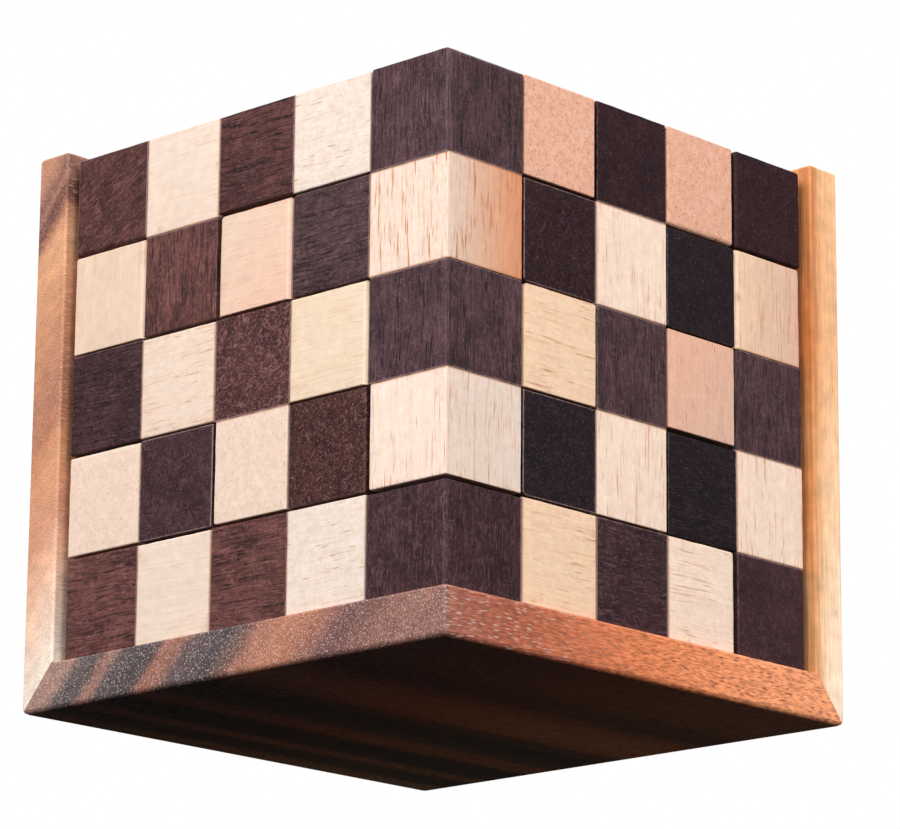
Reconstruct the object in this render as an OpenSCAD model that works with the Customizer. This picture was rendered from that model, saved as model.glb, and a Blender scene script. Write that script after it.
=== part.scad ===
// Checkered packing puzzle: twenty-five glued pieces of five small cubes each, which fill one
// large cube, standing in an open corner tray of three mitred plates.
//
// Frame: +Z up, origin at the middle of the tray's underside. The tray's side wall is at -X and
// its back wall at +Y, so the large cube can be reached from -Y, from +X and from above.

/* [Cube] */
// Pitch of the small cubes that the pieces are glued from
pitch = 20; // [15:1:30]
// Clear gap between neighbouring pieces
piece_gap = 0.2; // [0.1:0.05:0.4]
// Width that is taken off a small cube's sharp edges
cube_ease = 0.4; // [0.2:0.1:1]

/* [Tray] */
// Thickness of the square base
base_t = 9.3; // [6:0.1:14]
// Thickness of the side wall and the back wall
wall_t = 8.2; // [6:0.1:14]
// Clearance between the large cube and each wall
wall_gap = 1.5; // [0.5:0.1:3]
// How far the base and the walls stand out past the large cube's open faces
overhang = 1.4; // [0.2:0.1:4]
// How far the walls rise above the large cube's top
wall_rise = 1.8; // [0.2:0.1:4]
// Width that is taken off the tray's outer edges
tray_ease = 0.8; // [0.2:0.1:2]

/* [Colours] */
// Stained dark cubes
dark_colour = "#3d2c2f";
// Pale cubes
pale_colour = "#f0d9b8";
// Tray
tray_colour = "#a5683f";

/* [Hidden] */
// Where each piece lies: one block per layer, the bottom layer first. In a block the first row
// is the one at the back wall and a row's first letter is the cube at the side wall. Cubes that
// share a letter are glued together.
LAYERS = [
    [
        "TUFVY",
        "FFFFS",
        "DDDDS",
        "NADSS",
        "AAAAS",
    ],
    [
        "TUVVY",
        "NQJRY",
        "NQQRX",
        "NQGRR",
        "NQBRW",
    ],
    [
        "TUUVY",
        "TJJJJ",
        "EEEEX",
        "OGGGG",
        "BBBBW",
    ],
    [
        "TUMVY",
        "OKKKK",
        "OEKXX",
        "OHHHH",
        "OCHWW",
    ],
    [
        "PMMMM",
        "PLLLL",
        "PPILX",
        "PIIII",
        "CCCCW",
    ],
];
LETTERS = "ABCDEFGHIJKLMNOPQRSTUVWXY";
SHADES = ["dark", "pale"];

order = len(LAYERS);                                   // small cubes along each edge
cube_side = order * pitch;                             // side of the large cube
tray_side = wall_t + wall_gap + cube_side + overhang;  // side of the square base
tray_h = base_t + cube_side + wall_rise;               // height over all
half = tray_side / 2;
// Corner of the large cube that is lowest and nearest the side wall and the open front
corner = [-half + wall_t + wall_gap, -half + overhang, base_t];

X = [1, 0, 0];
Y = [0, 1, 0];
Z = [0, 0, 1];

function piece_node(letter, shade) = str("piece_", chr(ord(letter) + 32), "_", shade);

// ---- The small cubes and the pieces ----

// Letter of the piece that fills a cell, or "." outside the large cube
function owner(cell) = min(cell) < 0 || max(cell) >= order
    ? "."
    : LAYERS[cell.z][order - 1 - cell.y][cell.x];

function glued(cell, side) = owner(cell + side) == owner(cell);

// Corners of the large cube are dark, and the shades alternate from there
function shade_of(cell) = (cell.x + cell.y + cell.z) % 2 == 0 ? "dark" : "pale";

// Distance from a small cube's middle to its face on one side: a glued face reaches the next
// cube, and a free one stops half a gap short
function reach(cell, side) = pitch / 2 - (glued(cell, side) ? 0 : piece_gap / 2);

// Section of a small cube in the plane of two directions. A corner between two free faces is
// eased, and one at a glued face stays square.
function section(cell, u, v) = [
    for (turn = [[1, 1], [-1, 1], [-1, -1], [1, -1]])
        let (
            side_u = turn.x * u,
            side_v = turn.y * v,
            at = [turn.x * reach(cell, side_u), turn.y * reach(cell, side_v)],
            eased = !glued(cell, side_u) && !glued(cell, side_v),
            back_u = at - [turn.x * cube_ease, 0],
            back_v = at - [0, turn.y * cube_ease]
        )
        each !eased ? [at] : turn.x == turn.y ? [back_v, back_u] : [back_u, back_v]
];

// Bar along w, which has the small cube's section in the plane of u and v
module cube_bar(cell, u, v, w) {
    translate([0, 0, -reach(cell, -w)])
        linear_extrude(reach(cell, -w) + reach(cell, w))
            polygon(section(cell, u, v));
}

// One small cube in its cell, eased along every edge between two free faces
module small_cube(cell) {
    translate(corner + (cell + [0.5, 0.5, 0.5]) * pitch)
        intersection() {
            cube_bar(cell, X, Y, Z);
            rotate([90, 0, 90]) cube_bar(cell, Y, Z, X);
            rotate([-90, -90, 0]) cube_bar(cell, Z, X, Y);
        }
}

// The cubes of one shade in one piece
module piece(letter, shade) {
    color(shade == "dark" ? dark_colour : pale_colour)
        for (x = [0 : order - 1], y = [0 : order - 1], z = [0 : order - 1])
            let (cell = [x, y, z])
                if (owner(cell) == letter && shade_of(cell) == shade) small_cube(cell);
}

// ---- The tray ----

// Square outline with its four corners cut
module eased_outline(width, height) {
    e = tray_ease;
    polygon([
        [e, 0], [width - e, 0], [width, e], [width, height - e],
        [width - e, height], [e, height], [0, height - e], [0, e]
    ]);
}

// The tray's outer shape as one eased block, which each plate is cut from
module outer_block() {
    translate([-half, -half, 0])
        intersection() {
            linear_extrude(tray_h) eased_outline(tray_side, tray_side);
            along_y(0, tray_side) eased_outline(tray_side, tray_h);
            along_x(0, tray_side) eased_outline(tray_side, tray_h);
        }
}

// Outline in X and Z, extruded along Y
module along_y(from, length) {
    translate([0, from + length, 0]) rotate([90, 0, 0]) linear_extrude(length) children();
}

// Outline in Y and Z, extruded along X
module along_x(from, length) {
    translate([from, 0, 0]) rotate([90, 0, 90]) linear_extrude(length) children();
}

// Base, mitred where the two walls meet it
module tray_base() {
    color(tray_colour)
        intersection() {
            outer_block();
            along_y(-half, tray_side)
                polygon([[-half, 0], [half, 0], [half, base_t], [-half + wall_t, base_t]]);
            along_x(-half, tray_side)
                polygon([[-half, 0], [half, 0], [half - wall_t, base_t], [-half, base_t]]);
        }
}

// Side wall at -X, mitred at the base and at the back wall
module tray_side_wall() {
    inner = -half + wall_t;
    color(tray_colour)
        intersection() {
            outer_block();
            along_y(-half, tray_side)
                polygon([[-half, 0], [inner, base_t], [inner, tray_h], [-half, tray_h]]);
            linear_extrude(tray_h)
                polygon([[-half, -half], [inner, -half], [inner, half - wall_t], [-half, half]]);
        }
}

// Back wall at +Y, mitred at the base and at the side wall
module tray_back_wall() {
    inner = half - wall_t;
    color(tray_colour)
        intersection() {
            outer_block();
            along_x(-half, tray_side)
                polygon([[half, 0], [half, tray_h], [inner, tray_h], [inner, base_t]]);
            linear_extrude(tray_h)
                polygon([[-half, half], [-half + wall_t, inner], [half, inner], [half, half]]);
        }
}

tray_base();
tray_side_wall();
tray_back_wall();
for (letter = LETTERS, shade = SHADES)
    piece(letter, shade);
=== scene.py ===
"""Looks of a checkered packing puzzle that stands in an open corner tray.

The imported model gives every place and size. This script carves the tray's plates and the small
cubes of each glued piece anew, with worn edges, dresses them as timber and lights them.
"""

import logging
import math
import random
from collections.abc import Callable
from dataclasses import dataclass
from enum import Enum
from functools import partial

import bmesh
import bpy
from mathutils import Matrix, Vector


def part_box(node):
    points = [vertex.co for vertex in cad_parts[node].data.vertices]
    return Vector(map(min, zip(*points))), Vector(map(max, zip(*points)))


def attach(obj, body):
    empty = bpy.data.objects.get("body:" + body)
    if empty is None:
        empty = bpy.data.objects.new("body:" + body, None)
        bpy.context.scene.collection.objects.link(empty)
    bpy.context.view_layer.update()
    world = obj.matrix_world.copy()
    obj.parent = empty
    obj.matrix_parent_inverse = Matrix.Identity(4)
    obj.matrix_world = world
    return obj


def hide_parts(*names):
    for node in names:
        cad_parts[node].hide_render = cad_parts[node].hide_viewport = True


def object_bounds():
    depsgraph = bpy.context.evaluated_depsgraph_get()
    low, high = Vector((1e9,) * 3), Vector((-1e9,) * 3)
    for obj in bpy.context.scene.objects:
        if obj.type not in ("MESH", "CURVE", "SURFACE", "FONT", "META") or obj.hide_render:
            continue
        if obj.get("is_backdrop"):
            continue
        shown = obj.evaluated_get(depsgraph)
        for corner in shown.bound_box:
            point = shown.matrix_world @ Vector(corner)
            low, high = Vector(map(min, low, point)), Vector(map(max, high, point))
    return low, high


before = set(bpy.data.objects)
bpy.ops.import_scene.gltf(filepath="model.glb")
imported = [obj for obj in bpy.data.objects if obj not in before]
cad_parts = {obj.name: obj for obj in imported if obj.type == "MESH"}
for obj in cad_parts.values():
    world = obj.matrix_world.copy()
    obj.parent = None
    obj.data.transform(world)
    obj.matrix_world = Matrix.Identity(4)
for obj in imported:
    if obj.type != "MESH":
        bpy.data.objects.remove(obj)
CAD_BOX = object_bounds()

LOG = logging.getLogger("puzzle")
MM = 0.001
Cell = tuple[int, int, int]
Colour = tuple[float, float, float, float]
Edge = bmesh.types.BMEdge
Object = bpy.types.Object
Socket = bpy.types.NodeSocket
Tree = bpy.types.NodeTree

# Sockets of Blender's Mix node when it mixes colours
FACTOR, FIRST, SECOND, RESULT = 0, 6, 7, 2


def linear(hex_colour: str) -> Colour:
    """Turns an sRGB hex colour into linear light.

    Args:
        hex_colour: Six hex digits after a hash.

    Returns:
        Red, green, blue and a full alpha.
    """
    parts = [int(hex_colour[i : i + 2], 16) / 255 for i in (1, 3, 5)]
    light = [p / 12.92 if p <= 0.04045 else ((p + 0.055) / 1.055) ** 2.4 for p in parts]
    return (*light, 1.0)


# ---- What the timber is like ----


class Shade(Enum):
    """The two kinds of small cube."""

    DARK = "dark"
    PALE = "pale"


class Tone(Enum):
    """Colour of one small cube: its letter in the maps below, its kind and its hex colour."""

    IVORY = ("i", Shade.PALE, "#ded1c5")
    LINEN = ("n", Shade.PALE, "#e8d3c4")
    CREAM = ("c", Shade.PALE, "#ddc9b8")
    PEACH = ("p", Shade.PALE, "#d8bea9")
    BUTTER = ("y", Shade.PALE, "#ddc7ae")
    HONEY = ("h", Shade.PALE, "#e2d0c0")
    AMBER = ("a", Shade.PALE, "#dc8f62")
    MILK = ("e", Shade.PALE, "#f8dfcb")
    WHEAT = ("w", Shade.PALE, "#f3d1b0")
    SALMON = ("s", Shade.PALE, "#e9b69c")
    BLUSH = ("l", Shade.PALE, "#e0b8a3")
    UMBER = ("u", Shade.DARK, "#5f3a36")
    MULBERRY = ("m", Shade.DARK, "#4f2f2d")
    GRAPE = ("g", Shade.DARK, "#4c3438")
    SLATE = ("t", Shade.DARK, "#4a3436")
    BARK = ("b", Shade.DARK, "#3d2529")
    RUSSET = ("r", Shade.DARK, "#3f211e")
    PLUM = ("q", Shade.DARK, "#2c1319")
    INK = ("k", Shade.DARK, "#1c0f15")


class Run(Enum):
    """Way that the fibres of one small cube run: its letter in the maps and its direction."""

    X = ("x", (1, 0, 0))
    Y = ("y", (0, 1, 0))
    Z = ("z", (0, 0, 1))
    RISING = ("/", (1, 0, 0.45))


class Figure(Enum):
    """What marks a small cube: its letter, then how strong its pores, scuffs, and streaks are.

    On a dark cube the last is how far its edges are rubbed.
    """

    PLAIN = (".", (0.25, 0.3, 0.3))
    SPECKLED = (":", (1.1, 0.3, 0.3))
    DOTTED = ("o", (2.4, 0.3, 0.4))
    LINED = ("=", (1.0, 0.3, 0.35))
    SCUFFED = ("~", (0.35, 1.0, 0.5))
    WORN = ("-", (0.5, 0.45, 1.0))
    STREAKED = ("s", (0.7, 0.3, 1.0))
    FLAMED = ("f", (0.8, 0.3, 2.2))


# Maps of the two open faces, the top row first. On the front the first letter of a row is the
# cube at the side wall and the last is at the near upright edge. The right face goes on from
# there, so its rows hold the other four cubes.
FRONT_TONES = ("mcmig", "pupth", "bcmyg", "cbcrn", "ucuib")
RIGHT_TONES = ("sqsq", "qekw", "wglg", "keke", "wbeb")
FRONT_RUNS = ("/xxxz", "zzxxz", "xxyxz", "yyyyz", "xxxxz")
RIGHT_RUNS = ("xxxx", "xzxz", "yzzz", "xzyz", "yyyx")
FRONT_FIGURES = ("-.===", ".=.=f", "=s~.=", ":-:~s", "=.==-")
RIGHT_FIGURES = ("o.o.", "-s.s", "s=:=", "-s=s", "s-s.")

# Cubes that change colour from one side to the other: the way, and the tone at the far side
TURNING = {
    (4, 0, 3): (Vector((0, 1, 0)), Tone.AMBER),
    (4, 4, 3): (Vector((0, 1, 0)), Tone.BLUSH),
    (2, 0, 3): (Vector((1, 0, -1)), Tone.BLUSH),
    (4, 3, 2): (Vector((0, -1, 1)), Tone.SALMON),
}

# Free faces that stand further back than the others and so leave a wide black joint
WIDE_JOINTS = {
    ((2, 0, 4), (0, 0, -1)): 0.34,
    ((3, 0, 4), (0, 0, -1)): 0.16,
    ((1, 0, 2), (0, 0, 1)): 0.22,
    ((2, 0, 3), (-1, 0, 0)): 0.20,
    ((2, 0, 3), (1, 0, 0)): 0.22,
    ((2, 0, 1), (-1, 0, 0)): 0.32,
    ((3, 0, 1), (1, 0, 0)): 0.10,
    ((1, 0, 0), (0, 0, 1)): 0.22,
    ((3, 0, 0), (0, 0, 1)): 0.14,
    ((4, 0, 0), (0, 0, 1)): 0.20,
    ((4, 1, 4), (0, 1, 0)): 0.20,
    ((4, 1, 4), (0, 0, -1)): 0.24,
    ((4, 3, 4), (0, 1, 0)): 0.42,
    ((4, 4, 4), (0, 0, -1)): 0.22,
    ((4, 0, 3), (0, 1, 0)): 0.20,
    ((4, 3, 2), (0, 1, 0)): 0.26,
    ((4, 3, 2), (0, 0, -1)): 0.40,
    ((4, 3, 0), (0, 1, 0)): 0.44,
    ((4, 0, 1), (0, 1, 0)): 0.20,
}

# Upright or level edges that were rounded well before gluing: the cube, then the two sides
# that meet at the edge, and the radius in millimetres
ROUNDED_EDGES = {
    ((4, 0, 4), (0, -1, 0), (1, 0, 0)): 0.9,
    ((4, 0, 2), (0, -1, 0), (1, 0, 0)): 0.6,
    ((4, 0, 0), (0, -1, 0), (1, 0, 0)): 0.7,
    ((0, 0, 3), (-1, 0, 0), (0, 0, 1)): 1.0,
    ((2, 0, 3), (-1, 0, 0), (0, 0, 1)): 1.6,
    ((4, 0, 4), (-1, 0, 0), (0, 0, 1)): 1.1,
    ((2, 0, 1), (-1, 0, 0), (0, 0, 1)): 1.0,
    ((4, 0, 1), (0, 1, 0), (0, 0, 1)): 1.0,
    ((4, 1, 2), (0, -1, 0), (0, 0, 1)): 1.0,
    ((4, 1, 2), (0, 1, 0), (0, 0, 1)): 1.2,
    ((4, 3, 2), (0, 1, 0), (0, 0, 1)): 1.3,
    ((4, 2, 1), (0, 1, 0), (0, 0, 1)): 1.0,
    ((4, 4, 1), (0, 1, 0), (0, 0, 1)): 1.0,
    ((4, 3, 0), (0, 1, 0), (0, 0, 1)): 1.2,
    ((4, 4, 4), (0, 1, 0), (0, 0, 1)): 1.3,
    ((4, 4, 4), (0, -1, 0), (0, 0, 1)): 0.9,
}

SIDES = tuple(tuple(s if a == b else 0 for b in range(3)) for a in range(3) for s in (-1, 1))


# ---- Tools ----


def select_only(*objects: Object) -> None:
    """Makes these objects the whole selection, the first one active."""
    bpy.ops.object.select_all(action="DESELECT")
    for one in objects:
        one.select_set(True)
    bpy.context.view_layer.objects.active = objects[0]


def add_block(low: Vector, high: Vector) -> Object:
    """Adds a box between two corners, with its place in its mesh.

    Args:
        low: Lowest corner, in metres.
        high: Highest corner, in metres.

    Returns:
        The new object, which is the whole selection.
    """
    bpy.ops.object.select_all(action="DESELECT")
    bpy.ops.mesh.primitive_cube_add(size=1, location=(low + high) / 2, scale=high - low)
    bpy.ops.object.transform_apply(location=True, rotation=True, scale=True)
    return bpy.context.object


def apply_modifier(piece: Object, kind: str, **settings: object) -> None:
    """Adds a modifier with its settings and applies it at once.

    Args:
        piece: Object to change.
        kind: Blender's name of the modifier.
        **settings: The modifier's own properties.
    """
    select_only(piece)
    modifier = piece.modifiers.new(kind.lower(), kind)
    for name, value in settings.items():
        setattr(modifier, name, value)
    bpy.ops.object.modifier_apply(modifier=modifier.name)


def weigh_edges(piece: Object, weight: Callable[[Edge], float]) -> None:
    """Gives each edge the bevel weight that a function works out.

    Args:
        piece: Object whose mesh is weighed.
        weight: Takes a bmesh edge and returns its weight from 0 to 1.
    """
    mesh = bmesh.new()
    mesh.from_mesh(piece.data)
    layer = mesh.edges.layers.float.get("bevel_weight_edge")
    layer = layer or mesh.edges.layers.float.new("bevel_weight_edge")
    for edge in mesh.edges:
        edge[layer] = weight(edge)
    mesh.to_mesh(piece.data)
    mesh.free()


def add(
    tree: Tree, kind: str, inputs: tuple | dict = (), out: int | str = 0, **settings: object
) -> Socket:
    """Adds one node to a tree, with its settings, its constants and its links.

    Args:
        tree: Node tree to add to.
        kind: What comes after ShaderNode in Blender's name of the node.
        inputs: Values or feeding sockets, in the order of the node's inputs or by name or number.
        out: Name or number of the output that is wanted.
        **settings: The node's own properties. stops, a list of (place, colour), fills a ramp.

    Returns:
        The wanted output.
    """
    node = tree.nodes.new("ShaderNode" + kind)
    stops = settings.pop("stops", ())
    for name, value in settings.items():
        setattr(node, name, value)
    for place, colour in stops:
        node.color_ramp.elements.new(place).color = colour
    if stops:
        node.color_ramp.elements.remove(node.color_ramp.elements[0])
        node.color_ramp.elements.remove(node.color_ramp.elements[-1])
    for key, value in inputs.items() if isinstance(inputs, dict) else enumerate(inputs):
        if isinstance(value, Socket):
            tree.links.new(value, node.inputs[key])
        else:
            node.inputs[key].default_value = value
    return node.outputs[out]


def layered(tree: Tree, under: Socket, *layers: tuple[Socket, str | Socket]) -> Socket:
    """Lays colours over one another.

    Args:
        tree: Material's node tree.
        under: The lowest colour.
        *layers: Share and colour of each layer, the lowest first. A colour is hex or a socket.

    Returns:
        The colour that results.
    """
    for share, colour in layers:
        over = linear(colour) if isinstance(colour, str) else colour
        mix = {FACTOR: share, FIRST: under, SECOND: over}
        under = add(tree, "Mix", mix, RESULT, data_type="RGBA")
    return under


# ---- Finishes ----


@dataclass(frozen=True)
class Figuring:
    """Figure of one timber, as sizes in millimetres, read from the coordinates in wood.

    The attribute wood holds each point's place in its own small cube or plate, in millimetres,
    with +Z along the fibres and a shift of its own, so that no two cubes look alike.
    """

    fibre: float  # thickness of a fibre streak
    fibre_run: float  # its length
    streak: float  # width of a colour streak
    pore: float  # spacing of the open pores
    pore_width: float  # width of a pore
    pore_run: float  # spacing of the pores along the fibres
    sway: float  # how far the fibres wander
    pore_share: float = 1.0  # share of the pores that can be seen; above 1, most are deep
    streak_slim: float = 24.0  # a colour streak's length over its width
    pore_core: float = 0.45  # part of a pore's width that is quite dark

    def sockets(self, tree: Tree) -> dict[str, Socket]:
        """Adds the figure's nodes.

        Args:
            tree: Material's node tree.

        Returns:
            Sockets named plain and place, which are the coordinates without and with the sway of
            the fibres, and fibre, streak and pore.
        """
        put = partial(add, tree)
        plain = put("Attribute", out="Vector", attribute_name="wood")
        slow = put("VectorMath", (plain, (0.09, 0.09, 0.05)), operation="MULTIPLY")
        wander = put("TexNoise", {"Vector": slow, "Scale": 1.0, "Detail": 2.0}, "Color")
        centred = put("VectorMath", (wander, (0.5, 0.5, 0.5)), operation="SUBTRACT")
        sway = (self.sway, self.sway, 0.0)
        place = put("VectorMath", (centred, sway, plain), operation="MULTIPLY_ADD")
        return {
            "plain": plain,
            "place": place,
            "fibre": self._noise(tree, place, self.fibre, self.fibre_run, 3.0),
            "streak": self._noise(tree, place, self.streak, self.streak * self.streak_slim, 2.0),
            "pore": self._pores(tree, place),
        }

    def _noise(self, tree: Tree, place: Socket, width: float, run: float, detail: float) -> Socket:
        """Adds noise that is drawn out along the fibres and returns its value."""
        size = (1 / width, 1 / width, 1 / run)
        drawn = add(tree, "VectorMath", (place, size), operation="MULTIPLY")
        layers = {"Scale": 1.0, "Detail": detail, "Roughness": 0.6}
        return add(tree, "TexNoise", {"Vector": drawn, **layers})

    def _pores(self, tree: Tree, place: Socket) -> Socket:
        """Adds long thin vessels: dashes on a long face and dots on an end face."""
        put = partial(add, tree)
        size = (1 / self.pore, 1 / self.pore, 1 / self.pore_run)
        packed = put("VectorMath", (place, size), operation="MULTIPLY")
        cells = put("TexVoronoi", {"Vector": packed, "Scale": 1.0}).node.outputs
        reach = self.pore_width / self.pore
        inside = put("MapRange", (cells["Distance"], reach, reach * self.pore_core, 0.0, 1.0))
        dice = put("SeparateColor", (cells["Color"],))
        depth = put("MapRange", (dice, 1.0 - self.pore_share, 1.0))
        return put("Math", (inside, depth), operation="MULTIPLY")


def edge_closeness(tree: Tree) -> Socket:
    """Adds how near a point of a small cube's face is to the face's own edge.

    The attribute cubic runs from -1 to 1 across the cube. On a face its largest part is 1, and
    the middle one of the three says how near the edge is.

    Args:
        tree: Material's node tree.

    Returns:
        A socket from 0, in the middle of the face, to 1 on its edge.
    """
    put = partial(add, tree)
    cubic = put("Attribute", out="Vector", attribute_name="cubic")
    size = put("VectorMath", (cubic,), operation="ABSOLUTE")
    x, y, z = put("SeparateXYZ", (size,)).node.outputs
    low_xy = put("Math", (x, y), operation="MINIMUM")
    high_xy = put("Math", (x, y), operation="MAXIMUM")
    capped = put("Math", (high_xy, z), operation="MINIMUM")
    return put("Math", (low_xy, capped), operation="MAXIMUM")


@dataclass(frozen=True, kw_only=True)
class TimberFinish:
    """What every finish here has: a figure, and a sheen and a fine relief that follow it."""

    name: str
    figure: Figuring
    roughness: float
    smoother: float  # how much a hard fibre takes off the roughness
    rougher: float  # how much a soft fibre adds to it
    relief: float  # strength of the relief
    relief_depth: float  # its depth in millimetres
    ior: float = 1.5
    specular: float = 0.5

    def colour(self, tree: Tree, wood: dict[str, Socket]) -> tuple[Socket, Socket]:
        """Adds the finish's own nodes.

        Args:
            tree: Material's node tree.
            wood: The figure's sockets.

        Returns:
            The colour, and how deep the pores are.
        """
        raise NotImplementedError

    def material(self) -> bpy.types.Material:
        """Builds the finish and returns it."""
        made = bpy.data.materials.new(self.name)
        made.use_nodes = True
        tree = made.node_tree
        wood = self.figure.sockets(tree)
        colour, holes = self.colour(tree, wood)
        sheen = {"To Min": self.roughness - self.smoother, "To Max": self.roughness + self.rougher}
        gloss = add(tree, "MapRange", {"Value": wood["fibre"], **sheen})
        height = add(tree, "Math", (wood["fibre"], holes), operation="SUBTRACT")
        depth = {"Strength": self.relief, "Distance": self.relief_depth * MM}
        bump = add(tree, "Bump", {"Height": height, **depth})
        shader = tree.nodes["Principled BSDF"]
        for name, socket in (("Base Color", colour), ("Roughness", gloss), ("Normal", bump)):
            tree.links.new(socket, shader.inputs[name])
        shader.inputs["IOR"].default_value = self.ior
        shader.inputs["Specular IOR Level"].default_value = self.specular
        return made


@dataclass(frozen=True, kw_only=True)
class ClearRubberwood(TimberFinish):
    """Pale rubberwood, planed and wiped with clear lacquer.

    A creamy timber with thin tan streaks and short vessel lines along the fibres, dots and pink
    freckles on the end grain, faint rings and a satin sheen. Handling has left a little orange
    dirt near the edges, and a thin tan line of painted shade runs along each edge.
    """

    name: str = "clear_rubberwood"
    figure: Figuring = Figuring(
        fibre=0.28, fibre_run=9.0, streak=0.5, pore=0.8, pore_width=0.18, pore_run=6.0, sway=1.6
    )
    roughness: float = 0.42
    smoother: float = 0.06
    rougher: float = 0.1
    relief: float = 0.35
    relief_depth: float = 0.06
    ring: float = 3.6  # millimetres from one growth ring to the next
    streak_tan: str = "#bd7038"
    freckle_pink: str = "#cd7a52"
    vessel_tan: str = "#a8713f"
    # a tan for the dirt near the edges and for the painted shade along each edge
    edge_dirt_and_shade_tan: str = "#a35c2a"

    def colour(self, tree: Tree, wood: dict[str, Socket]) -> tuple[Socket, Socket]:
        """Lays the figure and the dirt over each cube's own tone, as the base class says."""
        put = partial(add, tree)
        place = wood["place"]
        marks = put("Attribute", out="Vector", attribute_name="marks")
        pores, _, streaks = put("SeparateXYZ", (marks,)).node.outputs
        tint = put("Attribute", out="Color", attribute_name="tint")

        # Streaks, which lie in groups
        tan = put("MapRange", (wood["streak"], 0.57, 0.68, 0.0, 0.66))
        broad = put("TexNoise", {"Vector": place, "Scale": 0.11, "Detail": 1.0})
        grouped = put("MapRange", (broad, 0.42, 0.58, 0.3, 1.0))
        local = put("Math", (grouped, streaks), operation="MULTIPLY")
        streaked = put("Math", (tan, local), operation="MULTIPLY")

        # Rings, which rise slowly and end sharply
        wave = {"Scale": 0.314 / self.ring, "Distortion": 2.5, "Detail": 2.0, "Detail Scale": 0.35}
        rings = put("TexWave", {"Vector": place, **wave}, "Fac", wave_profile="SAW")
        ringed = put("Math", (rings, 0.06), operation="MULTIPLY")

        # Freckles a millimetre wide, and open vessels
        freckle = put("TexNoise", {"Vector": place, "Scale": 1.1, "Detail": 5.0, "Roughness": 0.75})
        ruddy = put("MapRange", (freckle, 0.44, 0.62, 0.0, 0.2))
        freckled = put("Math", (ruddy, pores), operation="MULTIPLY")
        vessel = put("Math", (wood["pore"], pores), operation="MULTIPLY")
        vesselled = put("Math", (vessel, 0.75), operation="MULTIPLY", use_clamp=True)
        timber = layered(
            tree,
            tint,
            (streaked, self.streak_tan),
            (ringed, self.streak_tan),
            (freckled, self.freckle_pink),
            (vesselled, self.vessel_tan),
        )

        # Lighter and darker fibres and clouds
        fine = put("MapRange", (wood["fibre"], 0.28, 0.72, 0.92, 1.06))
        cloud = put("TexNoise", {"Vector": place, "Scale": 0.5, "Detail": 4.0})
        cloudy = put("MapRange", (cloud, 0.3, 0.7, 0.95, 1.05))
        level = put("Math", (cloudy, fine), operation="MULTIPLY")
        fibred = put("VectorMath", {0: timber, "Scale": level}, operation="SCALE")

        # Dirt in patches near the edges, and painted shade as a tan line along each edge
        near = edge_closeness(tree)
        patch = put("TexNoise", {"Vector": place, "Scale": 0.22, "Detail": 3.0})
        reach = put("Math", (near, patch), operation="MULTIPLY")
        dirt = put("MapRange", (reach, 0.56, 0.7, 0.0, 0.35))
        # arris is painted shade: a tan line that darkens each eased edge as the shade in a joint
        # would
        arris = put("MapRange", (near, 0.955, 0.985, 0.0, 0.66))
        dirt_and_painted_shade = put("Math", (dirt, arris), operation="MAXIMUM")
        return layered(tree, fibred, (dirt_and_painted_shade, self.edge_dirt_and_shade_tan)), wood["pore"]


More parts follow.
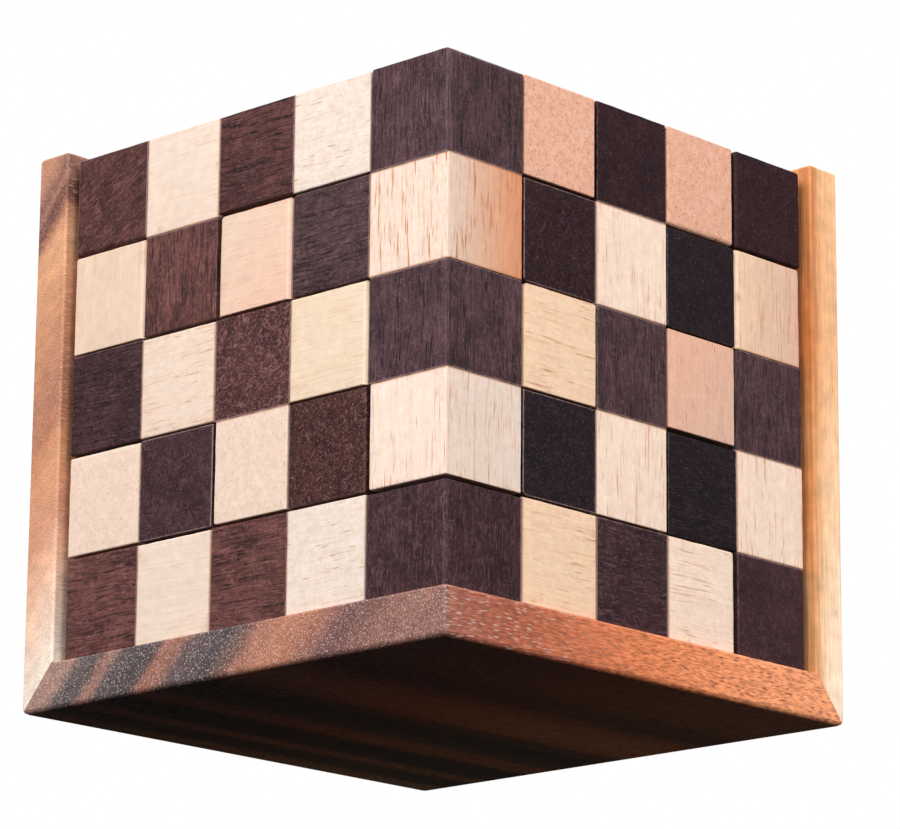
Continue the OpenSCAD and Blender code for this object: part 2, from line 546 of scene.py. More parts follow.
@dataclass(frozen=True, kw_only=True)
class StainedRubberwood(TimberFinish):
    """Rubberwood dyed dark, then rubbed with wax.

    An aubergine brown with black open vessels, cloudy where the dye took unevenly, crossed by
    fine pale scratches and specks, and rubbed grey along the sharp edges.
    """

    name: str = "stained_rubberwood"
    figure: Figuring = Figuring(
        fibre=0.26, fibre_run=7.0, streak=0.5, pore=0.8, pore_width=0.24, pore_run=7.0, sway=2.2
    )
    roughness: float = 0.38
    smoother: float = 0.08
    rougher: float = 0.14
    relief: float = 0.4
    relief_depth: float = 0.08
    specular: float = 0.16
    vessel_black: str = "#140c0e"
    scratch_grey: str = "#453c3b"
    rub_grey: str = "#8d7470"

    def _strokes(self, tree: Tree, place: Socket, turn: tuple[float, float, float]) -> Socket:
        """Adds short straight scuffs that all run one way.

        Args:
            tree: Material's node tree.
            place: Coordinates in millimetres.
            turn: Turn of the scuffs, in radians.

        Returns:
            A socket that is 1 on a scuff.
        """
        drawn = add(tree, "Mapping", {"Vector": place, "Rotation": turn, "Scale": (3.2, 3.2, 0.3)})
        noise = add(tree, "TexNoise", {"Vector": drawn, "Scale": 1.0, "Detail": 1.0})
        return add(tree, "MapRange", (noise, 0.64, 0.7))

    def _hairline(self, tree: Tree, place: Socket) -> Socket:
        """Adds a few thin curved lines, broken into strokes, and returns where they are."""
        put = partial(add, tree)
        field = put("TexNoise", {"Vector": place, "Scale": 0.13, "Detail": 1.0})
        off = put("Math", (field, 0.5), operation="SUBTRACT")
        far = put("Math", (off,), operation="ABSOLUTE")
        line = put("MapRange", (far, 0.006, 0.0, 0.0, 0.6))
        broken = put("TexNoise", {"Vector": place, "Scale": 0.3, "Detail": 0.0})
        stroke = put("MapRange", (broken, 0.52, 0.62))
        return put("Math", (line, stroke), operation="MULTIPLY")

    def colour(self, tree: Tree, wood: dict[str, Socket]) -> tuple[Socket, Socket]:
        """Darkens, scuffs and rubs each cube's own tone, as the base class says."""
        put = partial(add, tree)
        place = wood["place"]
        marks = put("Attribute", out="Vector", attribute_name="marks")
        pores, scuffs, edges = put("SeparateXYZ", (marks,)).node.outputs
        tint = put("Attribute", out="Color", attribute_name="tint")

        # Dye, which is cloudy, follows the fibres and is darker beneath the scuffs
        cloud = put("TexNoise", {"Vector": place, "Scale": 0.16, "Detail": 4.0, "Roughness": 0.6})
        cloudy = put("MapRange", (cloud, 0.3, 0.7, 0.6, 1.35))
        fine = put("MapRange", (wood["fibre"], 0.28, 0.72, 0.5, 1.45))
        level = put("Math", (cloudy, fine), operation="MULTIPLY")
        wisps = {"Scale": 0.8, "Detail": 5.0, "Roughness": 0.78, "Distortion": 1.4}
        mottle = put("TexNoise", {"Vector": place, **wisps})
        spotty = put("MapRange", (mottle, 0.35, 0.65, 0.75, 1.28))
        beneath = put("Math", (scuffs, -0.3, 1.0), operation="MULTIPLY_ADD")
        patchy = put("Math", (spotty, beneath), operation="MULTIPLY")
        depth = put("Math", (level, patchy), operation="MULTIPLY")
        dyed = put("VectorMath", {0: tint, "Scale": depth}, operation="SCALE")

        # Black vessels and streaks
        dark_streak = put("MapRange", (wood["streak"], 0.5, 0.68, 0.0, 0.75))
        vessel = put("Math", (wood["pore"], dark_streak), operation="ADD")
        open_pores = put("Math", (vessel, pores), operation="MULTIPLY", use_clamp=True)

        # Scuffs: wisps, straight strokes two ways and hairlines
        scuffed = put("MapRange", (mottle, 0.52, 0.65, 0.0, 0.95))
        one_way = self._strokes(tree, place, (0.9, 0.3, 0.2))
        other_way = self._strokes(tree, place, (-0.5, 1.2, 0.8))
        both_ways = put("Math", (one_way, other_way), operation="MAXIMUM")
        lines = put("Math", (both_ways, self._hairline(tree, place)), operation="MAXIMUM")
        all_marks = put("Math", (lines, scuffed), operation="MAXIMUM")
        scored = put("Math", (all_marks, scuffs), operation="MULTIPLY")
        share = put("Math", (scored, 0.85), operation="MULTIPLY")
        grey = linear(self.scratch_grey)[:3]
        lifted = put("VectorMath", (tint, (2.8, 2.8, 2.9), grey), operation="MULTIPLY_ADD")

        # Specks of dust, and edges that are rubbed unevenly
        dust = put("TexVoronoi", {"Vector": place, "Scale": 0.7})
        speck = put("MapRange", (dust, 0.075, 0.05, 0.0, 0.8))
        near = edge_closeness(tree)
        rough_edge = put("TexNoise", {"Vector": place, "Scale": 1.1, "Detail": 3.0})
        worn_near = put("Math", (edges, 0.02, near), operation="MULTIPLY_ADD")
        rubbed = put("Math", (rough_edge, 0.035, worn_near), operation="MULTIPLY_ADD")
        rub = put("MapRange", (rubbed, 0.993, 1.009, 0.0, 0.8))
        wear = put("Math", (speck, rub), operation="MAXIMUM")
        layers = (open_pores, self.vessel_black), (share, lifted), (wear, self.rub_grey)
        return layered(tree, dyed, *layers), open_pores


@dataclass(frozen=True, kw_only=True)
class OiledMonkeypod(TimberFinish):
    """Monkeypod, sanded and oiled.

    An orange-brown timber with blue-grey heartwood bands, pale sapwood and coarse open pores,
    which the sanding has filled with dust: dots on the end grain, dashes along the fibres.
    """

    zones: tuple[tuple[float, str], ...]  # millimetres across the rings, and the colour there
    tints: tuple[tuple[float, Colour], ...]  # millimetres along the fibres, and what dims it
    pore_turn: float  # millimetres along the fibres where the pores turn from pale to brown
    figure: Figuring = Figuring(
        fibre=0.35,
        fibre_run=6.0,
        streak=1.6,
        pore=0.5,
        pore_width=0.19,
        pore_run=2.4,
        sway=2.0,
        pore_share=1.7,
    )
    roughness: float = 0.5
    smoother: float = 0.08
    rougher: float = 0.12
    relief: float = 0.5
    relief_depth: float = 0.1
    ior: float = 1.48
    specular: float = 0.25
    span: tuple[float, float] = (-70.0, 130.0)
    tint_gain: float = 1.7
    pore_pale: str = "#dcc3b4"
    pore_brown: str = "#743217"
    pore_depth: float = 0.8
    pore_blend: float = 14.0  # millimetres on either side of pore_turn
    fleck_depth: float = 0.2  # how much the short dark flecks dim the timber
    fleck_lift: float = 1.06  # how light it is between them
    ragged: float = 3.5  # how far a streak pushes a band's edge, in millimetres

    def _ramp(self, tree: Tree, place: Socket, stops: list[tuple[float, Colour]]) -> Socket:
        """Adds a ramp whose stops are in millimetres.

        Args:
            tree: Material's node tree.
            place: Where on the ramp a point is, in millimetres.
            stops: Place and colour of each stop.

        Returns:
            The ramp's colour.
        """
        low, high = self.span
        share = add(tree, "MapRange", (place, low, high))
        placed = [((mm - low) / (high - low), colour) for mm, colour in stops]
        return add(tree, "ValToRGB", (share,), "Color", stops=placed)

    def colour(self, tree: Tree, wood: dict[str, Socket]) -> tuple[Socket, Socket]:
        """Lays bands across the rings and dust in the pores, as the base class says."""
        put = partial(add, tree)
        place = wood["place"]
        across, _, along = put("SeparateXYZ", (place,)).node.outputs

        # Bands with ragged edges, dimmed along the fibres
        pushed = put("Math", (wood["streak"], self.ragged, across), operation="MULTIPLY_ADD")
        centred = put("Math", (pushed, self.ragged / 2), operation="SUBTRACT")
        stops = [(mm, linear(colour)) for mm, colour in self.zones]
        timber = self._ramp(tree, centred, stops)
        unbent = put("SeparateXYZ", (wood["plain"],), "Z")
        tint = self._ramp(tree, unbent, list(self.tints))
        gained = put("VectorMath", {0: tint, "Scale": self.tint_gain}, operation="SCALE")
        toned = put("VectorMath", (timber, gained), operation="MULTIPLY")

        # Blotches, fibres and short flecks
        blotch = put("TexNoise", {"Vector": place, "Scale": 0.3, "Detail": 4.0})
        uneven = put("MapRange", (blotch, 0.3, 0.7, 0.86, 1.13))
        fine = put("MapRange", (wood["fibre"], 0.25, 0.75, 0.78, 1.18))
        short = put("VectorMath", (place, (2.1, 2.1, 0.55)), operation="MULTIPLY")
        fleck = put("TexNoise", {"Vector": short, "Scale": 1.0, "Detail": 2.0})
        dimmed = self.fleck_lift - self.fleck_depth
        flecked = put("MapRange", (fleck, 0.4, 0.58, dimmed, self.fleck_lift))
        even = put("Math", (uneven, fine), operation="MULTIPLY")
        level = put("Math", (even, flecked), operation="MULTIPLY")
        fibred = put("VectorMath", {0: toned, "Scale": level}, operation="SCALE")

        # Pores, filled with pale dust on one side of the turn and brown on the other
        before, after = self.pore_turn - self.pore_blend, self.pore_turn + self.pore_blend
        turn = put("MapRange", (along, before, after))
        ends = {FACTOR: turn, FIRST: linear(self.pore_pale), SECOND: linear(self.pore_brown)}
        dust = put("Mix", ends, RESULT, data_type="RGBA")
        filled = put("Math", (wood["pore"], self.pore_depth), operation="MULTIPLY", use_clamp=True)
        return layered(tree, fibred, (filled, dust)), wood["pore"]


# Heartwood bands of the base, seen on its front edge, where they rise to the right
BASE_WOOD = OiledMonkeypod(
    name="banded_monkeypod",
    zones=(
        (-58.0, "#e0b0a0"),
        (-50.0, "#dcae9f"),
        (-47.5, "#857476"),
        (-42.5, "#7c6e70"),
        (-40.0, "#d49a8a"),
        (-38.0, "#cf9a8c"),
        (-35.5, "#7d6c6e"),
        (-29.0, "#6e6369"),
        (-26.5, "#756568"),
        (-24.0, "#d8937f"),
        (-19.0, "#cc8c7c"),
        (-16.5, "#8d7576"),
        (-7.0, "#6e6369"),
        (-4.5, "#8f7370"),
        (-1.0, "#a67468"),
        (1.0, "#e29a84"),
        (8.0, "#fbaa89"),
        (14.0, "#f2a283"),
        (19.0, "#d08c7b"),
        (23.0, "#a4736f"),
        (28.0, "#a87670"),
        (34.0, "#c08679"),
        (42.0, "#c88e82"),
    ),
    tints=(
        (-55.2, (0.265, 0.265, 0.265, 1.0)),
        (-54.4, (0.41, 0.31, 0.25, 1.0)),
        (-40.0, (0.44, 0.26, 0.17, 1.0)),
        (-20.0, (0.63, 0.38, 0.21, 1.0)),
        (0.0, (0.83, 0.55, 0.27, 1.0)),
        (20.0, (0.95, 0.71, 0.38, 1.0)),
        (45.0, (1.0, 0.83, 0.48, 1.0)),
    ),
    pore_turn=-20.0,
    tint_gain=1.78,
    fleck_depth=0.36,
)

# Two dark bands near the top of the side wall's front edge, and sapwood at its foot
SIDE_WOOD = OiledMonkeypod(
    name="plain_monkeypod",
    zones=(
        (6.0, "#dfd0c2"),
        (16.0, "#debfab"),
        (24.0, "#d9ae94"),
        (29.0, "#d2a184"),
        (34.0, "#c18a6f"),
        (45.0, "#c48b69"),
        (50.0, "#bd8462"),
        (54.0, "#aa7256"),
        (64.0, "#a57159"),
        (71.0, "#b37c5e"),
        (80.0, "#bd8665"),
        (90.0, "#ca9570"),
        (94.0, "#be8565"),
        (96.0, "#94624c"),
        (98.0, "#68413a"),
        (100.0, "#6e463c"),
        (102.0, "#936656"),
        (104.0, "#7a5146"),
        (107.0, "#9a6c5a"),
        (112.0, "#b07c62"),
    ),
    tints=((-56.0, (0.62, 0.61, 0.6, 1.0)), (56.0, (0.55, 0.5, 0.46, 1.0))),
    pore_turn=200.0,
    pore_depth=0.5,
    fleck_depth=0.1,
)

# Straight-grained sapwood; the browner strip along its inner face is painted shade beside the cubes
BACK_WOOD = OiledMonkeypod(
    name="sapwood_monkeypod",
    zones=(
        # The first three stops are painted shade along the inner face, where the wall stands
        # against the cubes
        (46.5, "#b9753f"),
        (48.2, "#cc8c5a"),
        (49.4, "#e6b283"),
        (51.0, "#f2c498"),
        (56.0, "#f6cba3"),
        (60.0, "#e2ad7e"),
        (62.0, "#f0c39a"),
        (67.0, "#d89f6e"),
        (69.0, "#e9b68a"),
        (73.0, "#cf9260"),
        (75.0, "#e4b084"),
        (80.0, "#efc29a"),
    ),
    tints=(
        (0.0, (0.64, 0.78, 0.98, 1.0)),
        (40.0, (0.6, 0.61, 0.62, 1.0)),
        (75.0, (0.53, 0.45, 0.39, 1.0)),
        (112.0, (0.54, 0.47, 0.42, 1.0)),
    ),
    pore_turn=-200.0,
    tint_gain=1.82,
    pore_depth=0.25,
    fleck_depth=0.0,
    figure=Figuring(
        fibre=0.4, fibre_run=14.0, streak=0.7, pore=0.8, pore_width=0.16, pore_run=5.0, sway=0.8
    ),
)


# ---- The small cubes and the pieces ----


@dataclass(frozen=True)
class Grid:
    """Cells of the large cube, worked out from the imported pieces."""

    corner: Vector
    pitch: float
    order: int = 5
    gap: float = 0.2 * MM
    probe: float = 1.0 * MM  # how far inside a face the cell behind it is looked up

    @classmethod
    def from_frame(cls) -> "Grid":
        """Reads the large cube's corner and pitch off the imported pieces' boxes."""
        boxes = [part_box(name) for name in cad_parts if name.startswith("piece_")]
        low = Vector([min(box[0][a] for box in boxes) for a in range(3)])
        high = Vector([max(box[1][a] for box in boxes) for a in range(3)])
        half_gap = Vector([cls.gap / 2] * 3)
        return cls(low - half_gap, (high.x - low.x + cls.gap) / cls.order)

    def centre(self, cell: Cell) -> Vector:
        """Middle of a cell, in metres."""
        return self.corner + (Vector(cell) + Vector((0.5, 0.5, 0.5))) * self.pitch

    def cells_of(self, node: Object) -> list[Cell]:
        """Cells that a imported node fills.

        Args:
            node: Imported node, whose faces look outwards.

        Returns:
            The cells, in order.
        """
        found = set()
        for face in node.data.polygons:
            inner = face.center - face.normal * self.probe - self.corner
            found.add(tuple(math.floor(part / self.pitch) for part in inner))
        return sorted(found)


@dataclass(frozen=True)
class CubeLook:
    """Tone, way of the fibres and marks of one small cube."""

    tone: Tone
    run: Vector
    marks: tuple[float, float, float]

    @classmethod
    def of(cls, cell: Cell, shade: Shade, bar: Vector) -> "CubeLook":
        """Finds a cube's look in the maps of the open faces, or draws one for a hidden cube.

        Args:
            cell: The cube's cell.
            shade: Dark or pale.
            bar: Direction of the piece's bar, which hidden cubes' fibres follow.

        Returns:
            The look.
        """
        x, y, z = cell
        row = Grid.order - 1 - z
        dice = random.Random(f"look {cell}")
        letters = None
        if y == 0:
            letters = [m[row][x] for m in (FRONT_TONES, FRONT_RUNS, FRONT_FIGURES)]
        elif x == Grid.order - 1:
            letters = [m[row][y - 1] for m in (RIGHT_TONES, RIGHT_RUNS, RIGHT_FIGURES)]
        if letters is None:
            tones = [tone for tone in Tone if tone.value[1] is shade]
            return cls(dice.choice(tones), bar, dice.choice(list(Figure)).value[1])
        tone = next(t for t in Tone if t.value[0] == letters[0])
        run = next(r for r in Run if r.value[0] == letters[1])
        figure = next(f for f in Figure if f.value[0] == letters[2])
        return cls(tone, Vector(run.value[1]).normalized(), figure.value[1])


@dataclass
class PuzzlePiece:
    """One glued piece of five small cubes: a bar of four and one on its side."""

    letter: str
    grid: Grid
    glue_ease: float = 0.09 * MM  # ease of an edge at a glued face
    least_ease: float = 0.2 * MM  # ease of a free edge
    most_ease: float = 0.36 * MM
    odd_share: float = 0.08  # share of the edges that are rounded more
    odd_ease: tuple[float, float] = (0.7, 1.1)  # least and most ease of those, in millimetres
    widest_round: float = 1.8 * MM  # weight 1 of the bevel
    setback: float = 0.12  # millimetres that a free face stands back at most
    turning: float = 0.75  # below 1, a turning colour turns early
    timber_spread: float = 400.0  # millimetres within which a cube's timber is picked
    cuts: int = 7  # cuts across each face
    ease_steps: int = 3
    unevenness: float = 0.17 * MM
    chip: float = 2.2 * MM  # size of the unevenness along an edge
    edge_zone: float = 0.93  # where the uneven zone begins, with 1 at the edge itself

    def __post_init__(self) -> None:
        """Reads the piece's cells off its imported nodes."""
        self.cells = {
            shade: self.grid.cells_of(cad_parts[self.node_name(shade)]) for shade in Shade
        }
        self.every = set(self.cells[Shade.DARK] + self.cells[Shade.PALE])

    def node_name(self, shade: Shade) -> str:
        """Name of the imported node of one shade."""
        return f"piece_{self.letter}_{shade.value}"

    def bar(self) -> Vector:
        """Direction of the bar of four cubes."""
        spans = [len({cell[a] for cell in self.every}) for a in range(3)]
        longest = spans.index(max(spans))
        return Vector([1.0 if a == longest else 0.0 for a in range(3)])

    def is_glued(self, cell: Cell, side: Cell) -> bool:
        """Whether the piece goes on past a cube's face."""
        return tuple(c + s for c, s in zip(cell, side)) in self.every

    def reach(self, cell: Cell, side: Cell) -> float:
        """Distance from a cube's middle to its face on one side, in metres."""
        if self.is_glued(cell, side):
            return self.grid.pitch / 2
        dice = random.Random(f"reach {cell} {side}")
        back = self.grid.gap / 2 + dice.uniform(0.0, self.setback) * MM
        return self.grid.pitch / 2 - back - WIDE_JOINTS.get((cell, side), 0.0) * MM

    def edge_ease(self, cell: Cell, first: Cell, second: Cell) -> float:
        """Ease of the edge where two sides of a cube meet, in metres."""
        if self.is_glued(cell, first) or self.is_glued(cell, second):
            return self.glue_ease
        told = ROUNDED_EDGES.get((cell, first, second), ROUNDED_EDGES.get((cell, second, first)))
        if told:
            return told * MM
        dice = random.Random(f"ease {cell} {sorted((first, second))}")
        if dice.random() < self.odd_share:
            return dice.uniform(*self.odd_ease) * MM
        return dice.uniform(self.least_ease, self.most_ease)

    def small_cube(self, cell: Cell, number: int) -> Object:
        """Cuts one small cube, ready for its edges to be eased.

        Args:
            cell: The cube's cell.
            number: The cube's number in its node, kept on its points.

        Returns:
            The cube, with a bevel weight on each of its twelve edges.
        """
        middle = self.grid.centre(cell)
        low = middle - Vector([self.reach(cell, SIDES[2 * a]) for a in range(3)])
        high = middle + Vector([self.reach(cell, SIDES[2 * a + 1]) for a in range(3)])
        cube = add_block(low, high)
        bpy.ops.object.mode_set(mode="EDIT")
        bpy.ops.mesh.select_all(action="SELECT")
        bpy.ops.mesh.subdivide(number_cuts=self.cuts)
        bpy.ops.object.mode_set(mode="OBJECT")

        def weight(edge: Edge) -> float:
            """Weight of an edge of the cube, or 0 for a line across a face."""
            met = [
                SIDES[2 * a + end]
                for a in range(3)
                for end, wall in enumerate((low[a], high[a]))
                if all(abs(v.co[a] - wall) < 1e-7 for v in edge.verts)
            ]
            return self.edge_ease(cell, *met) / self.widest_round if len(met) == 2 else 0.0

        weigh_edges(cube, weight)
        mark = cube.data.attributes.new("cube", "INT", "POINT")
        mark.data.foreach_set("value", [number] * len(cube.data.vertices))
        return cube

    def build(self, shade: Shade) -> Object:
        """Builds the cubes of one shade as one object.

        Args:
            shade: Dark or pale.

        Returns:
            The finished mesh object, with its coordinates and looks as attributes.
        """
        cells = self.cells[shade]
        cubes = [self.small_cube(cell, n) for n, cell in enumerate(cells)]
        select_only(*cubes)
        bpy.ops.object.join()
        made = bpy.context.object
        made.name = made.data.name = f"{self.node_name(shade)}_cubes"
        apply_modifier(
            made,
            "BEVEL",
            limit_method="WEIGHT",
            width=self.widest_round,
            segments=self.ease_steps,
            use_clamp_overlap=False,
        )
        self.record_looks(made, cells, shade)
        self.wear_edges(made)
        apply_modifier(made, "WEIGHTED_NORMAL", keep_sharp=True)
        return made

    def record_looks(self, made: Object, cells: list[Cell], shade: Shade) -> None:
        """Writes each point's timber coordinates, its cube's tone and its marks.

        Args:
            made: Object with a cube number on each point.
            cells: Cell of each cube number.
            shade: Dark or pale.
        """
        turns, shifts, looks = [], [], []
        for cell in cells:
            look = CubeLook.of(cell, shade, self.bar())
            dice = random.Random(f"timber {cell}")
            spin = Matrix.Rotation(dice.uniform(0, math.tau), 3, "Z")
            turns.append(spin @ look.run.rotation_difference(Vector((0, 0, 1))).to_matrix())
            spread = self.timber_spread
            shifts.append(Vector([dice.uniform(-spread, spread) for _ in range(3)]))
            looks.append(look)
        numbers = [n.value for n in made.data.attributes["cube"].data]
        wood, cubic, tint, marks = [], [], [], []
        for point, n in zip(made.data.vertices, numbers):
            away = point.co - self.grid.centre(cells[n])
            wood.extend(turns[n] @ away / MM + shifts[n])
            cubic.extend(away / (self.grid.pitch / 2))
            tint.extend(self.tint_at(cells[n], looks[n].tone, away))
            marks.extend(looks[n].marks)
        for name, values in (("wood", wood), ("cubic", cubic), ("marks", marks)):
            written = made.data.attributes.new(name, "FLOAT_VECTOR", "POINT")
            written.data.foreach_set("vector", values)
        written = made.data.attributes.new("tint", "FLOAT_COLOR", "POINT")
        written.data.foreach_set("color", tint)
        made.data.attributes.remove(made.data.attributes["cube"])

    def tint_at(self, cell: Cell, tone: Tone, away: Vector) -> Colour:
        """Colour of a cube at a point, which turns to another tone in a few cubes.

        Args:
            cell: The cube's cell.
            tone: The cube's own tone.
            away: The point, from the cube's middle, in metres.

        Returns:
            The colour in linear light.
        """
        near = linear(tone.value[2])
        if cell not in TURNING:
            return near
        way, far_tone = TURNING[cell]
        passed = 0.5 + way.normalized().dot(away) / self.grid.pitch
        share = min(1.0, max(0.0, passed)) ** self.turning
        far = linear(far_tone.value[2])
        return tuple(a + (b - a) * share for a, b in zip(near, far))

    def wear_edges(self, made: Object) -> None:
        """Makes the eased edges slightly uneven, and leaves the faces flat."""
        group = made.vertex_groups.new(name="edges")
        cubic = made.data.attributes["cubic"].data
        for point in made.data.vertices:
            near = sorted(abs(part) for part in cubic[point.index].vector)[1]
            if near > self.edge_zone:
                group.add([point.index], 1.0, "REPLACE")
        noise = bpy.data.textures.get("worn edges")
        noise = noise or bpy.data.textures.new("worn edges", "CLOUDS")
        noise.noise_scale = self.chip
        noise.noise_depth = 2
        apply_modifier(
            made,
            "DISPLACE",
            texture=noise,
            texture_coords="LOCAL",
            vertex_group="edges",
            strength=self.unevenness,
            mid_level=0.75,
        )
        made.vertex_groups.clear()


# ---- The tray ----


class Plate(Enum):
    """The tray's three plates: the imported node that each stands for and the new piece's name."""

    BASE = ("tray_base", "base_plate")
    SIDE = ("tray_side_wall", "side_wall_plate")
    BACK = ("tray_back_wall", "back_wall_plate")


@dataclass(frozen=True)
class Board:
    """How the board of one plate was sawn from the tree, and its finish."""

    fibres: Vector  # direction of the fibres
    across: Vector  # direction across the growth rings, and a length above 1 narrows the bands
    start: float  # what is added to the distance across, in millimetres
    finish: OiledMonkeypod


BOARDS = {
    Plate.BASE: Board(
        fibres=Vector((0, 1, 0)), across=Vector((1, 0, -1)), start=0.0, finish=BASE_WOOD
    ),
    Plate.SIDE: Board(
        fibres=Vector((0, 1, 0)), across=Vector((-1.2, 0, 1)), start=-61.7, finish=SIDE_WOOD
    ),
    Plate.BACK: Board(
        fibres=Vector((0, 0, 1)), across=Vector((-0.22, 1, 0)), start=12.2, finish=BACK_WOOD
    ),
}


@dataclass
class CornerTray:
    """Three mitred plates, rounded together after gluing."""

    side_foot_round: float = 1.5 * MM  # edge where the base meets the side wall
    back_foot_round: float = 1.5 * MM  # edge where the base meets the back wall
    corner_round: float = 2.0 * MM  # upright edge where the walls meet
    side_top_round: float = 1.4 * MM
    back_top_round: float = 0.5 * MM
    foot_arris: float = 1.1 * MM  # lower edges at the open sides
    arris: float = 0.55 * MM  # other edges round the open sides
    seam: float = 0.07 * MM  # ease at a mitre joint
    widest_round: float = 3.0 * MM
    steps: int = 5  # steps of the roundings made before the plates are cut apart
    cut_steps: int = 3  # steps of the eases at the cuts
    smooth_angle: float = 40.0

    def __post_init__(self) -> None:
        """Reads the plates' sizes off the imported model."""
        self.low, self.high = (Vector(corner) for corner in CAD_BOX)
        self.base_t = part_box("tray_base")[1].z - self.low.z
        self.wall_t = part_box("tray_side_wall")[1].x - self.low.x

    def block_ease(self, edge: Edge) -> float:
        """Bevel weight of an edge of the outer block."""
        at = [v.co for v in edge.verts]
        left, _, _, back, foot, top = (
            all(abs(p[a] - wall) < 1e-6 for p in at)
            for a in range(3)
            for wall in (self.low[a], self.high[a])
        )
        if left and foot:
            size = self.side_foot_round
        elif back and foot:
            size = self.back_foot_round
        elif left and back:
            size = self.corner_round
        elif left and top:
            size = self.side_top_round
        elif back and top:
            size = self.back_top_round
        elif foot:
            size = self.foot_arris
        else:
            size = self.arris
        return size / self.widest_round

    def planes(self, plate: Plate) -> list[tuple[Vector, Vector]]:
        """Cuts that free one plate from the outer block, as points and outward normals.

        Args:
            plate: The plate to cut.

        Returns:
            The plate's inner face first, then its two mitres.
        """
        side_foot = Vector((self.low.x, 0, self.low.z))
        back_foot = Vector((0, self.high.y, self.low.z))
        back_side = Vector((self.low.x, self.high.y, 0))
        rise = Vector((-self.base_t, 0, self.wall_t)).normalized()
        back_rise = Vector((0, self.base_t, self.wall_t)).normalized()
        turn = Vector((1, 1, 0)).normalized()
        inner = {
            Plate.BASE: (Vector((0, 0, self.low.z + self.base_t)), Vector((0, 0, 1))),
            Plate.SIDE: (Vector((self.low.x + self.wall_t, 0, 0)), Vector((1, 0, 0))),
            Plate.BACK: (Vector((0, self.high.y - self.wall_t, 0)), Vector((0, -1, 0))),
        }
        mitres = {
            Plate.BASE: [(side_foot, rise), (back_foot, back_rise)],
            Plate.SIDE: [(side_foot, -rise), (back_side, turn)],
            Plate.BACK: [(back_foot, -back_rise), (back_side, -turn)],
        }
        return [inner[plate], *mitres[plate]]

    def build(self, plate: Plate, board: Board) -> Object:
        """Cuts one plate out of the rounded outer block and eases its new edges.

        Args:
            plate: The plate to build.
            board: The board that it is cut from.

        Returns:
            The finished mesh object, with its finish.
        """
        made = add_block(self.low, self.high)
        made.name = made.data.name = plate.value[1]
        weigh_edges(made, self.block_ease)
        apply_modifier(
            made, "BEVEL", limit_method="WEIGHT", width=self.widest_round, segments=self.steps
        )
        planes = self.planes(plate)
        select_only(made)
        bpy.ops.object.mode_set(mode="EDIT")
        for point, normal in planes:
            bpy.ops.mesh.select_all(action="SELECT")
            bpy.ops.mesh.bisect(
                plane_co=point, plane_no=normal, use_fill=True, clear_outer=True, threshold=1e-7
            )
        bpy.ops.object.mode_set(mode="OBJECT")

        def weight(edge: Edge) -> float:
            """Weight of an edge that the cuts have made: small at a mitre, larger elsewhere."""
            near = [
                all(abs((v.co - point).dot(normal)) < 1e-6 for v in edge.verts)
                for point, normal in planes
            ]
            if any(near[1:]):
                return self.seam / self.widest_round
            return self.arris / self.widest_round if near[0] else 0.0

        weigh_edges(made, weight)
        apply_modifier(
            made,
            "BEVEL",
            limit_method="WEIGHT",
            width=self.widest_round,
            segments=self.cut_steps,
            use_clamp_overlap=False,
        )
        level = board.fibres.cross(board.across).normalized()
        wood = []
        for point in made.data.vertices:
            at = point.co / MM
            wood.extend((at.dot(board.across) + board.start, at.dot(level), at.dot(board.fibres)))
        written = made.data.attributes.new("wood", "FLOAT_VECTOR", "POINT")
        written.data.foreach_set("vector", wood)
        select_only(made)
        bpy.ops.object.shade_smooth_by_angle(angle=math.radians(self.smooth_angle))
        apply_modifier(made, "WEIGHTED_NORMAL", keep_sharp=True)
        made.data.materials.append(board.finish.material())
        return made


# ---- The studio ----


@dataclass(frozen=True)
class Lamp:
    """A square soft lamp that looks at the object."""

    name: str
    azimuth: float  # bearing in degrees, as the camera's
    elevation: float  # height in degrees
    size: float  # side in metres
    power: float  # watts


LAMPS = (
    Lamp("left_lamp", azimuth=5, elevation=30, size=0.9, power=15.4),
    Lamp("right_lamp", azimuth=80, elevation=28, size=0.9, power=10.8),
    Lamp("top_lamp", azimuth=40, elevation=75, size=1.0, power=4.0),
    Lamp("back_lamp", azimuth=225, elevation=30, size=0.9, power=7.0),
)


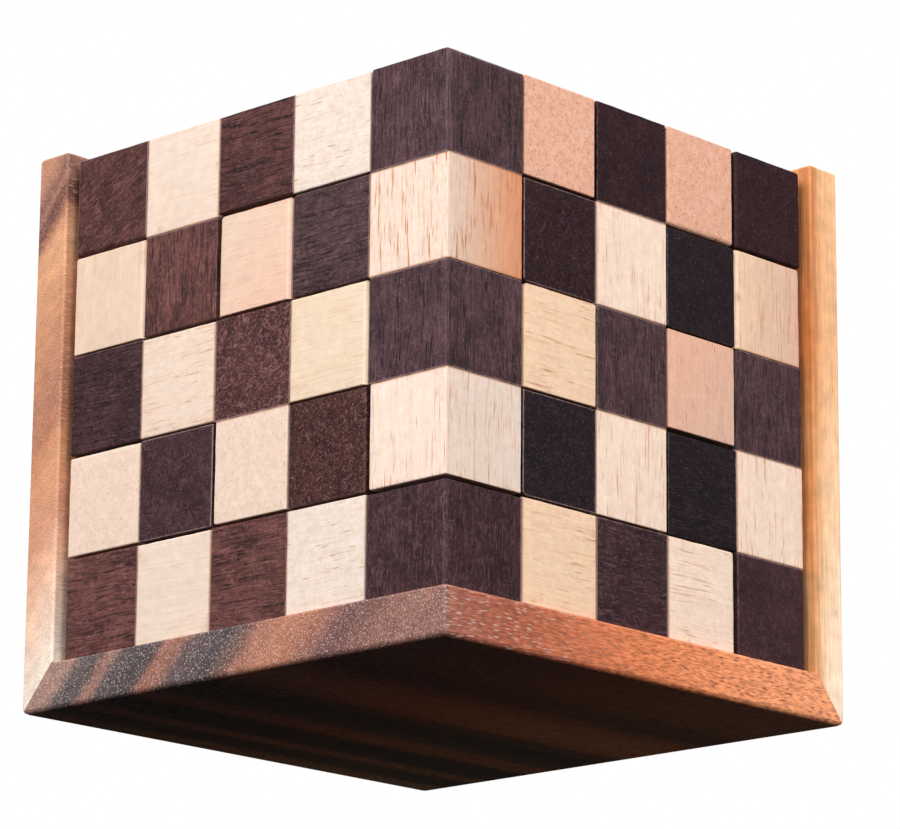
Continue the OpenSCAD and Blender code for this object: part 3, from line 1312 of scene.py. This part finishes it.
@dataclass
class Studio:
    """Camera below the tray's near corner, soft lamps on both sides and a pale floor."""

    grid: Grid
    azimuth: float = 43.51
    elevation: float = -14.93
    distance: float = 42.14  # in pitches, as the aim is
    aim: tuple[float, float, float] = (2.585, 2.585, 2.488)
    roll: float = 0.51
    lens: float = 174.6
    lamp_distance: float = 1.1
    floor_side: float = 8.0
    floor_drop: float = 0.3 * MM  # how far the floor is below the tray
    floor_grey: str = "#e9e7e4"
    sky: tuple[float, float, float, float] = (-0.08, 0.12, 0.024, 0.4)  # heights, then strengths

    def back(self, azimuth: float, elevation: float) -> Vector:
        """Direction from the object towards a place on the sky, in degrees."""
        a, e = math.radians(azimuth), math.radians(elevation)
        return Vector((math.sin(a) * math.cos(e), -math.cos(a) * math.cos(e), math.sin(e)))

    def add_camera(self) -> None:
        """Adds the camera and makes it the scene's."""
        back = self.back(self.azimuth, self.elevation)
        bearing = math.radians(self.azimuth)
        level = Vector((math.cos(bearing), math.sin(bearing), 0))
        turned = Matrix((level, back.cross(level), back)).transposed().to_4x4()
        spot = self.grid.corner + Vector(self.aim) * self.grid.pitch
        camera = bpy.data.objects.new("camera", bpy.data.cameras.new("camera"))
        bpy.context.scene.collection.objects.link(camera)
        camera.data.lens = self.lens
        camera.data.sensor_width = 36.0
        camera.data.clip_start = 0.05
        camera.matrix_world = (
            Matrix.Translation(spot + back * self.distance * self.grid.pitch)
            @ turned
            @ Matrix.Rotation(math.radians(self.roll), 4, "Z")
        )
        bpy.context.scene.camera = camera

    def add_lamp(self, lamp: Lamp) -> None:
        """Adds one lamp."""
        back = self.back(lamp.azimuth, lamp.elevation)
        made = bpy.data.objects.new(lamp.name, bpy.data.lights.new(lamp.name, "AREA"))
        bpy.context.scene.collection.objects.link(made)
        made.data.shape = "SQUARE"
        made.data.size = lamp.size
        made.data.energy = lamp.power
        made.matrix_world = (
            Matrix.Translation(self.grid.centre((2, 2, 2)) + back * self.lamp_distance)
            @ back.to_track_quat("Z", "Y").to_matrix().to_4x4()
        )

    def add_sky(self) -> None:
        """Adds a white backdrop that sheds less light from below, so undersides are in shade."""
        world = bpy.data.worlds.new("studio")
        bpy.context.scene.world = world
        world.use_nodes = True
        put = partial(add, world.node_tree)
        way = put("TexCoord", out="Generated")
        height = put("SeparateXYZ", (way,), "Z")
        share = put("MapRange", (height, *self.sky))
        seen = put("LightPath", out="Is Camera Ray")
        strength = put("Math", (share, seen), operation="MAXIMUM")
        light = world.node_tree.nodes["Background"].inputs
        world.node_tree.links.new(strength, light["Strength"])
        light["Color"].default_value = (1, 1, 1, 1)

    def add_floor(self) -> None:
        """Adds a pale floor that shows from above only, because the camera looks up past it."""
        bpy.ops.object.select_all(action="DESELECT")
        height = CAD_BOX[0].z - self.floor_drop
        bpy.ops.mesh.primitive_plane_add(size=self.floor_side, location=(0, 0, height))
        floor = bpy.context.object
        floor.name = "floor"
        made = bpy.data.materials.new("floor")
        made.use_nodes = True
        put = partial(add, made.node_tree)
        paper = put("BsdfDiffuse", {"Color": linear(self.floor_grey)})
        below = put("NewGeometry", out="Backfacing")
        both = put("MixShader", (below, paper, put("BsdfTransparent")))
        made.node_tree.links.new(both, made.node_tree.nodes["Material Output"].inputs["Surface"])
        floor.data.materials.append(made)
        floor.visible_diffuse = False
        floor.visible_glossy = False
        floor.visible_shadow = False
        floor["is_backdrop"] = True

    def build(self) -> None:
        """Adds everything round the object."""
        self.add_camera()
        for lamp in LAMPS:
            self.add_lamp(lamp)
        self.add_sky()
        self.add_floor()
        bpy.context.scene.view_settings.view_transform = "Standard"


def main() -> None:
    """Builds and dresses the tray and the twenty-five pieces, then the studio."""
    logging.basicConfig(level=logging.INFO, format="%(name)s: %(message)s")
    grid = Grid.from_frame()

    tray = CornerTray()
    for plate, board in BOARDS.items():
        made = tray.build(plate, board)
        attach(made, "tray")
        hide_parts(plate.value[0])
        LOG.info("%s: %d faces", made.name, len(made.data.polygons))

    finishes = {
        Shade.DARK: StainedRubberwood().material(),
        Shade.PALE: ClearRubberwood().material(),
    }
    letters = sorted({name.split("_")[1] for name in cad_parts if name.startswith("piece_")})
    for letter in letters:
        piece = PuzzlePiece(letter, grid)
        for shade in Shade:
            made = piece.build(shade)
            made.data.materials.append(finishes[shade])
            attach(made, f"piece_{letter}")
            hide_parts(piece.node_name(shade))
            LOG.info("%s: %d faces", made.name, len(made.data.polygons))

    Studio(grid).build()
    sizes = {"cad": CAD_BOX, "visual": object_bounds()}
    {name: [list(corner) for corner in box] for name, box in sizes.items()}


if __name__ == "__main__":
    main()
